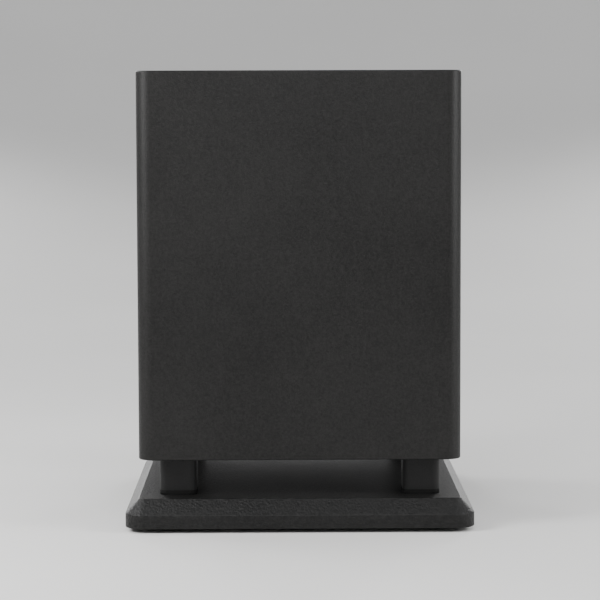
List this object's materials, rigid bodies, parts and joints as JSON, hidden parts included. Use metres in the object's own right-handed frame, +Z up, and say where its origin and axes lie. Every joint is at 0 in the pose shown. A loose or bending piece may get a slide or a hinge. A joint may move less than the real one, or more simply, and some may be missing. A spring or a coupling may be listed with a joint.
{
  "type": "bookshelf speaker",
  "caption": "Closed rounded speaker cabinet on four posts over a chamfered plinth, driver facing down, amplifier plate at the back.",
  "frame": {"origin": "centre of the bounding box at the underside of the feet", "axes": "+Z up, front faces -Y, +Y out of the back where the amplifier plate is"},
  "size_m": [0.2382, 0.2484, 0.3124],
  "materials": {
    "anodised": "black anodised",
    "black_board": "fibreboard sprayed matt black",
    "brass_plain": "plain",
    "cabinet_coat": "fine sand-textured coating over fibreboard",
    "can_sleeve": "shrink sleeve",
    "cap_paper": "coated paper",
    "circuit_board": "solder mask",
    "contact_brass": "bright plated",
    "control_metal": "plated",
    "copper": "enamelled copper winding",
    "ferrite": "sintered ferrite",
    "ferrite_core": "ferrite core with taped winding",
    "fibre_tab": "fibre board",
    "foam": "closed-cell foam",
    "former_film": "amber film",
    "frame_coat": "semi-gloss black paint on pressed steel",
    "insert_plastic": "moulded",
    "knob_plastic": "fine satin",
    "lead_brown": "insulated wire",
    "lead_red": "insulated wire",
    "led_lens": "clear tinted",
    "nub_plastic": "satin",
    "paper_cone": "pressed paper pulp",
    "plate_paint": "fine textured black paint on steel",
    "plinth_coat": "coarse pebbled coating over fibreboard",
    "post_coat": "satin textured powder coat",
    "raw_board": "bare fibreboard",
    "rocker_plastic": "moulded",
    "socket_plastic": "satin",
    "soft_rubber": "matt rubber",
    "spider_cloth": "resin-dipped cotton",
    "steel_dark": "black oxide",
    "steel_plain": "zinc plated",
    "switch_plastic": "satin",
    "tin_blade": "tin plated",
    "wadding": "polyester wadding"
  },
  "bodies": {
    "cabinet": {"rubber_feet": "soft_rubber", "plinth": "plinth_coat", "post_pads": "soft_rubber", "posts": "post_coat", "post_bolts": "steel_dark", "insert_nuts": "brass_plain", "cabinet_shell": "cabinet_coat", "back_panel": "cabinet_coat", "bottom_board": "black_board", "shelf_brace": "raw_board", "damping_wadding": "wadding", "driver_frame": "frame_coat", "driver_gasket": "foam", "driver_screws": "steel_dark", "surround": "soft_rubber", "spider": "spider_cloth", "top_plate": "steel_plain", "magnet_ring": "ferrite", "pole_yoke": "steel_plain", "terminal_tab": "fibre_tab", "amp_plate": "plate_paint", "plate_gasket": "foam", "plate_screws": "steel_dark", "heat_sink": "anodised", "amp_board": "circuit_board", "board_spacers": "brass_plain", "power_transformer": "ferrite_core", "filter_capacitors": "can_sleeve", "level_pot": "control_metal", "crossover_pot": "control_metal", "pot_nuts": "steel_plain", "phase_switch": "switch_plastic", "mode_switch": "switch_plastic", "rca_block": "socket_plastic", "rca_shells": "contact_brass", "rca_inserts": "insert_plastic", "inlet_body": "socket_plastic", "inlet_pins": "tin_blade", "inlet_screws": "steel_dark", "rocker_frame": "socket_plastic", "rocker_tabs": "tin_blade", "status_led": "led_lens", "speaker_leads": "lead_red", "mains_leads": "lead_brown"},
    "cone_assembly": {"cone": "paper_cone", "dust_cap": "cap_paper", "coil_former": "former_film", "voice_coil": "copper"},
    "level_control": {"level_shaft": "control_metal", "level_knob": "knob_plastic"},
    "crossover_control": {"crossover_shaft": "control_metal", "crossover_knob": "knob_plastic"},
    "phase_nub": {"phase_slider": "nub_plastic"},
    "mode_nub": {"mode_slider": "nub_plastic"},
    "rocker": {"power_rocker": "rocker_plastic"}
  },
  "joints": [
    {"name": "cone_travel", "type": "slide", "parent": "cabinet", "child": "cone_assembly", "axis": [0, 0, -1], "range_m": [-0.005, 0.005], "stiffness_N_per_m": 1200, "springref_m": -0.0002, "deforming": ["surround", "spider"]},
    {"name": "level_turn", "type": "hinge", "parent": "cabinet", "child": "level_control", "pos_m": [0.052, 0.1085, 0.24744], "axis": [0, -1, 0], "range_deg": [-150, 150]},
    {"name": "crossover_turn", "type": "hinge", "parent": "cabinet", "child": "crossover_control", "pos_m": [0.01, 0.1085, 0.24744], "axis": [0, -1, 0], "range_deg": [-150, 150]},
    {"name": "phase_slide", "type": "slide", "parent": "cabinet", "child": "phase_nub", "axis": [-1, 0, 0], "range_m": [0, 0.004]},
    {"name": "mode_slide", "type": "slide", "parent": "cabinet", "child": "mode_nub", "axis": [-1, 0, 0], "range_m": [-0.003, 0.003]},
    {"name": "rocker_tilt", "type": "hinge", "parent": "cabinet", "child": "rocker", "pos_m": [-0.004, 0.107, 0.16344], "axis": [1, 0, 0], "range_deg": [0, 22]}
  ]
}
